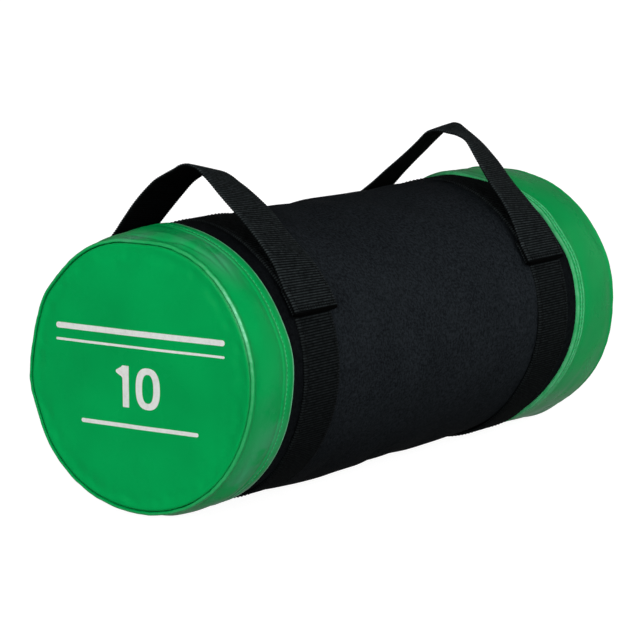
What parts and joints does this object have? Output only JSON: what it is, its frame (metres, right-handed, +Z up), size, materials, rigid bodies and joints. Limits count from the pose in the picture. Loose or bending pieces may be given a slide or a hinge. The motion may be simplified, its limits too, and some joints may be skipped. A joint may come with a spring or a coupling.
{
  "type": "fitness power bag",
  "caption": "Round weighted training bag with a woven body, vinyl end caps, girth bands and swinging webbing carry handles.",
  "frame": {"origin": "on the floor, under the middle of the bag, in the plane of the girth bands' flats", "axes": "+X along the bag from the near cap to the far cap, +Z up through the handles, -Y towards the bag's front"},
  "size_m": [0.504, 0.2096, 0.2511],
  "materials": {
    "green_vinyl": "gloss",
    "woven_cover": "matte",
    "black_webbing": "matte",
    "black_thread": "satin",
    "grey_foam": "matte",
    "liner_film": "satin",
    "filling": "matte",
    "tie_band": "satin"
  },
  "bodies": {
    "bag": {"body_cover": "woven_cover", "near_cap_side": "green_vinyl", "far_cap_side": "green_vinyl", "near_cap_disc": "green_vinyl", "far_cap_disc": "green_vinyl", "near_end_pad": "grey_foam", "far_end_pad": "grey_foam", "foam_liner": "grey_foam", "inner_bag": "liner_film", "weight_fill": "filling", "neck_tie": "tie_band", "near_girth_band": "black_webbing", "far_girth_band": "black_webbing", "near_handle_front_leg": "black_webbing", "near_handle_rear_leg": "black_webbing", "near_handle_front_stitching": "black_thread", "near_handle_rear_stitching": "black_thread", "far_handle_front_leg": "black_webbing", "far_handle_rear_leg": "black_webbing", "far_handle_front_stitching": "black_thread", "far_handle_rear_stitching": "black_thread"},
    "near_handle": {"near_handle_crown": "black_webbing"},
    "far_handle": {"far_handle_crown": "black_webbing"}
  },
  "joints": [
    {"name": "near_handle_swing", "type": "hinge", "parent": "bag", "child": "near_handle", "pos_m": [-0.1715, 0, 0.1997], "axis": [0, 1, 0], "range_deg": [-30, 30], "stiffness_Nm_per_rad": 0.15, "deforming": ["near_handle_front_leg", "near_handle_rear_leg"]},
    {"name": "far_handle_swing", "type": "hinge", "parent": "bag", "child": "far_handle", "pos_m": [0.1455, 0, 0.1997], "axis": [0, 1, 0], "range_deg": [-30, 30], "stiffness_Nm_per_rad": 0.15, "deforming": ["far_handle_front_leg", "far_handle_rear_leg"]}
  ]
}
